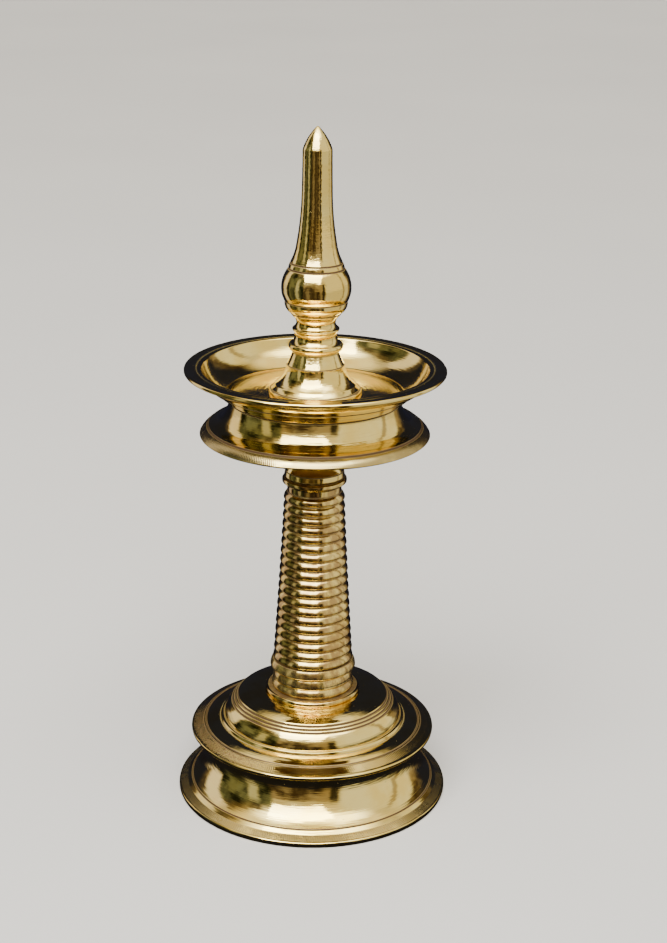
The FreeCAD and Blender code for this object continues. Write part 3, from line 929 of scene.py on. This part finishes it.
def finial():
    seal_hole = reach("oil_seal") + 0.4
    flange = reach("finial")
    seal_roof = 1.5
    tip = level("finial", 1) - level("finial", 0)

    o = Outline(0.0, 17.0, rough=0.6, loop=False)
    o.to(stud_hole, 17.0)
    o.to(stud_hole, seal_roof + hole_bevel)
    o.to(stud_hole + hole_bevel, seal_roof)
    o.rough = 0.3
    o.feed_marks(seal_hole, seal_roof, 6)
    o.to(seal_hole, 0.0)
    o.rough = 0.0
    o.to(flange - 0.55, 0.0, corner=0.2, soil=0.9)
    o.to(flange, 0.95, bow=0.12, corner=0.45, soil=0.1)
    o.to(flange - 0.45, 1.85, bow=0.12, corner=0.3)
    o.groove(flange - 0.85, 2.2, 0.16)
    o.to(flange - 2.5, 4.0, bow=-0.08, corner=0.25)
    o.to(12.55, 12.5, bow=-1.05, corner=0.18)
    o.groove(12.35, 12.85, 0.18)
    o.to(10.05, 18.0, bow=-0.10, corner=0.3)
    o.to(10.0, 18.9, corner=0.3, soil=0.6)
    o.to(11.1, 19.25, corner=0.2, soil=0.5)
    o.to(11.8, 20.2, bow=0.16, corner=0.45)
    o.to(11.6, 21.6, bow=0.10, corner=0.4)
    o.to(10.9, 22.15, bow=0.08, corner=0.25, soil=0.3)
    o.to(9.1, 25.2, bow=-0.45, corner=0.5)
    o.to(9.5, 27.2, bow=-0.10, corner=0.4)
    o.to(10.15, 28.15, bow=0.05, corner=0.2)
    o.to(10.0, 28.75, bow=0.08, corner=0.2, soil=0.2)
    o.to(8.4, 31.3, bow=-0.4, corner=0.5)
    o.to(9.2, 33.4, bow=-0.12, corner=0.5)
    o.to(10.8, 35.1, bow=0.12, corner=0.2)
    o.groove(11.35, 35.8, 0.25)
    o.to(13.5, 40.4, bow=0.75, corner=0.2)
    o.groove(13.75, 41.0, 0.2)
    o.to(15.05, 45.7, bow=0.25, corner=1.5)
    o.to(12.3, 54.4, bow=0.75, corner=0.25)
    o.groove(11.95, 55.15, 0.32)
    o.to(11.45, 56.8, bow=0.05, corner=0.2)
    o.groove(11.1, 57.5, 0.32)
    o.to(8.4, 66.6, bow=-0.45, corner=3.0)
    o.to(6.5, 88.0, bow=-0.42, corner=4.0)
    o.to(6.25, 104.9, bow=-0.03, corner=0.25)
    o.to(6.1, 105.4, corner=0.2)
    o.to(0.7, tip - 0.35, bow=0.55, corner=0.4)
    o.to(0.0, tip, bow=0.1, corner=0.2)
    return turned("finial_turned", [o], level("finial", 0), steps=192)


def stud(node):
    """A threaded stud: a right-hand screw of 2 mm pitch."""
    low, high = level(node, 0), level(node, 1)
    length = high - low
    pitch = 2.0
    rows_per_turn = 12
    rows = 2 + round(length / pitch * rows_per_turn)
    bare = solid_piece(node + "_threaded", [], [])
    return screw.grow(
        bare, brass["stud"], Rows=rows, Foot=low * mm, Length=length * mm, Pitch=pitch * mm,
        Crest_Radius=min(reach(node), 5.0) * mm,
    )


# ------------------------------------------------------------------------ looks
brass = {
    "foot": polished_brass("foot_brass"),
    "disc": polished_brass("disc_brass", lines=1.3, mottle=(205, 49.5, 54.8)),
    # the column gets brown painted shade for the dish's shade over it
    "column": polished_brass("column_brass", lines=0.8, haze=1.2, painted_shade=0.85),
    "skirt": polished_brass("skirt_brass"),
    "dish": polished_brass("dish_brass", lines=0.9),
    "finial": polished_brass("finial_brass", lines=1.1),
    "stud": cut_brass("stud_brass"),
}
leather = oiled_leather("seal_leather")
screw = thread_rule()


def keep(piece, body, slot_name, finish=None, *nodes):
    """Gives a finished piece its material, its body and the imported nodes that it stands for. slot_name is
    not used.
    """
    if finish:
        piece.data.materials.clear()
        piece.data.materials.append(finish)
    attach(piece, body)
    if nodes:
        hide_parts(*nodes)


keep(foot(), "foot", "brass_foot", brass["foot"], "foot")
keep(base_disc(), "base_disc", "brass_disc", brass["disc"], "base_disc")
keep(column(), "column", "brass_column", None, "column")
keep(skirt(), "skirt", "brass_skirt", brass["skirt"], "skirt")
keep(oil_dish(), "oil_dish", "brass_dish", brass["dish"], "oil_dish")
keep(oil_seal(), "oil_dish", "seal_leather", leather, "oil_seal")
keep(finial(), "finial", "brass_finial", brass["finial"], "finial")
for node in ("column_stud", "hub_stud", "finial_stud"):
    keep(stud(node), node, "stud_brass", None, node)


# ------------------------------------------------------------------------ stage
def floor():
    radius = 30.0
    steps = 96
    angles = [2 * math.pi * step / steps for step in range(steps)]
    edge = [(radius * math.cos(angle), radius * math.sin(angle), 0) for angle in angles]
    mesh = bpy.data.meshes.new("floor")
    mesh.from_pydata(edge, [], [tuple(range(steps))])
    mesh.materials.append(floor_paper("floor_paper"))
    piece = bpy.data.objects.new("floor", mesh)
    bpy.context.scene.collection.objects.link(piece)


def studio():
    """The world lights the lamp like a room with one large soft ceiling. The camera sees plain grey."""
    world = bpy.data.worlds.new("studio")
    bpy.context.scene.world = world
    world.use_nodes = True
    tree = world.node_tree
    way = add_node(tree, "ShaderNodeTexCoord", out="Generated")
    east = add_node(tree, "ShaderNodeSeparateXYZ", None, way)
    azimuth = east.math("ARCTAN2", -east.other("Y")) * (180 / math.pi)
    elevation = east.other("Z").math("ARCSINE") * (180 / math.pi)
    seen = add_node(tree, "ShaderNodeLightPath", out="Is Camera Ray")
    shown = mix_colour(seen, room_light(azimuth, elevation, way), (0.62, 0.62, 0.62))
    tree.links.new(shown.socket, tree.nodes["Background"].inputs["Color"])


def softbox(name, place, target, width, height, power, colour):
    light = bpy.data.lights.new(name, "AREA")
    light.shape = "RECTANGLE"
    light.size, light.size_y = width, height
    light.energy = power
    light.color = colour
    lamp = bpy.data.objects.new(name, light)
    lamp.location = place
    lamp.rotation_euler = (Vector(target) - Vector(place)).to_track_quat("-Z", "Y").to_euler()
    lamp.visible_camera = False
    bpy.context.scene.collection.objects.link(lamp)


def camera():
    distance, height = 0.77283, 0.42016
    down, aside, roll = 0.33336, 0.010764, 0.01312
    ahead = Vector((math.sin(aside) * math.cos(down), math.cos(aside) * math.cos(down), -math.sin(down)))
    right = Vector((math.cos(aside), -math.sin(aside), 0))
    above = right.cross(ahead)
    tilted_right = right * math.cos(roll) + above * math.sin(roll)
    tilted_up = above * math.cos(roll) - right * math.sin(roll)
    data = bpy.data.cameras.new("camera")
    data.sensor_width = 36.0
    data.lens = 71.0
    data.dof.use_dof = False
    eye = bpy.data.objects.new("camera", data)
    eye.location = (0, -distance, height)
    eye.rotation_euler = Matrix((tilted_right, tilted_up, -ahead)).transposed().to_euler()
    bpy.context.scene.collection.objects.link(eye)
    bpy.context.scene.camera = eye


floor()
studio()
softbox("front_softbox", (-0.35, -1.25, 1.75), (0, 0, 0.12), 1.9, 1.3, 62, (1.0, 0.985, 0.96))
camera()
